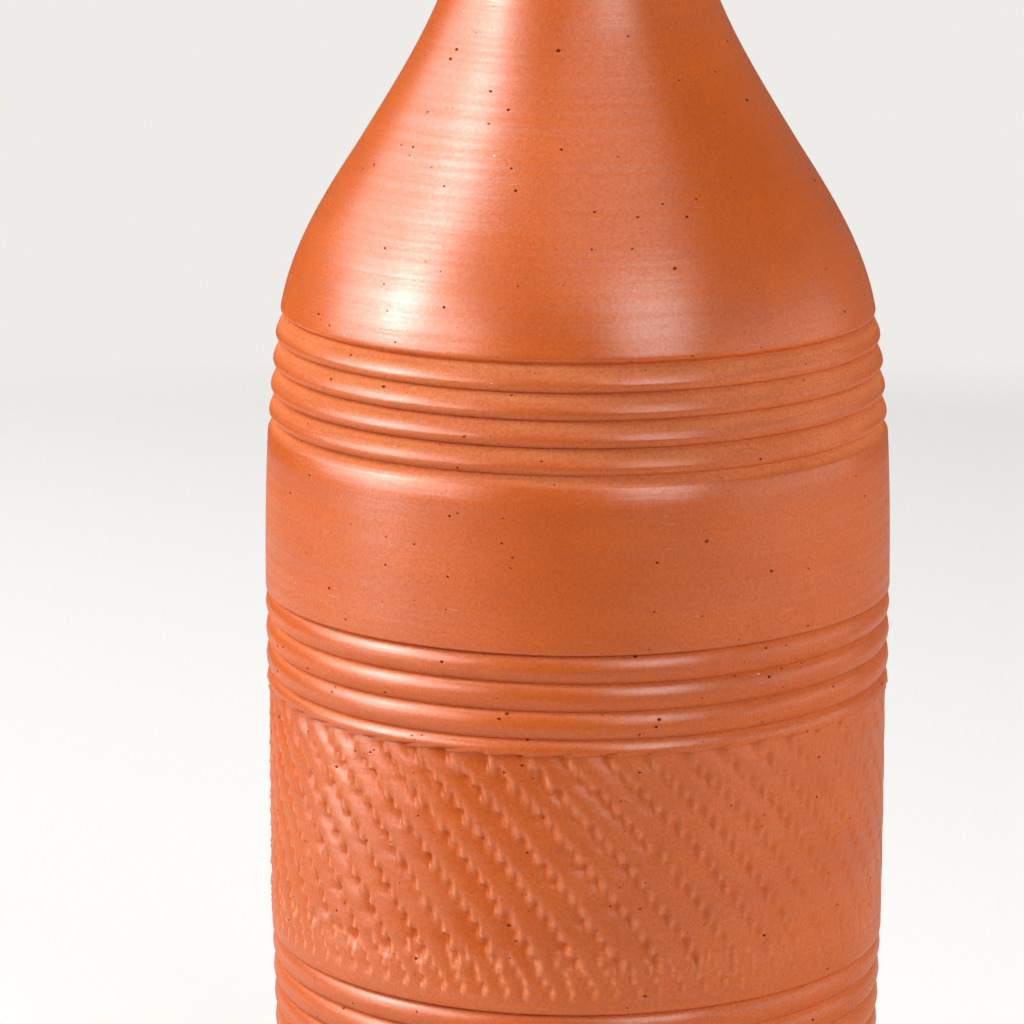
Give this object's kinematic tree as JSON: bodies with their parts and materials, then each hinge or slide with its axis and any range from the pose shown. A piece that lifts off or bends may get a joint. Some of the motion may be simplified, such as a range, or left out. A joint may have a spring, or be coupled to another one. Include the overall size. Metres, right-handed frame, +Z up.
{
  "type": "water bottle",
  "caption": "Wheel-thrown terracotta water bottle with turned bead bands, a chattered band and a narrow neck, closed by a clay stopper with silicone seal rings.",
  "frame": {"origin": "middle of the flat foot, on the surface that the bottle stands on", "axes": "+Z up along the axis that the bottle was turned about; the bottle is round, so +X and +Y are free, and the picture looks along +Y"},
  "size_m": [0.0938, 0.0938, 0.2623],
  "materials": {
    "burnished_clay": "unglazed fired terracotta, burnished to a satin sheen, matt in the grooves and inside",
    "seal_silicone": "soft matt food-grade silicone, off-white"
  },
  "bodies": {
    "bottle": {"bottle_body": "burnished_clay"},
    "seals": {"upper_seal_ring": "seal_silicone", "lower_seal_ring": "seal_silicone"},
    "stopper": {"stopper": "burnished_clay"}
  },
  "joints": [
    {"name": "stopper_lift", "type": "slide", "parent": "bottle", "child": "seals", "axis": [0, 0, 1], "range_m": [0, 0.05]},
    {"name": "stopper_twist", "type": "hinge", "parent": "seals", "child": "stopper", "pos_m": [0, 0, 0.244], "axis": [0, 0, 1], "continuous": true}
  ]
}
